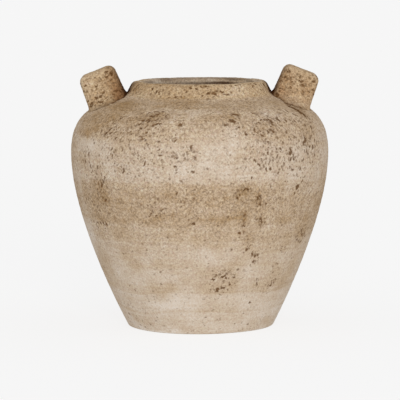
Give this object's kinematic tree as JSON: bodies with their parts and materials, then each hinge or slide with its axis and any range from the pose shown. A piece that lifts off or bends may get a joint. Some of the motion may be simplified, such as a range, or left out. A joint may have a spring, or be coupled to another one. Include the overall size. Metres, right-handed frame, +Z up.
{
  "type": "storage jar",
  "caption": "Squat matte terracotta storage jar with a high shoulder, short leaning collar, thick rounded lip and stub lugs on the shoulder, built up in jointed rings.",
  "frame": {"origin": "on the jar's axis, in the ground plane under its foot", "axes": "+Z up along the jar's axis, +X towards the right lug, -Y towards the viewer"},
  "size_m": [0.36, 0.36, 0.3641],
  "materials": {
    "body_terracotta": "pitted matte slip with brown wash",
    "collar_terracotta": "pitted matte slip with brown wash",
    "lug_terracotta": "pitted matte slip with brown wash",
    "floor_terracotta": "bare fired clay"
  },
  "bodies": {
    "root": {"floor_disc": "floor_terracotta", "foot_wall": "body_terracotta", "lower_wall": "body_terracotta", "belly_wall": "body_terracotta", "shoulder_dome": "body_terracotta", "neck_collar": "collar_terracotta", "lug_left": "lug_terracotta", "lug_right": "lug_terracotta"}
  },
  "joints": []
}
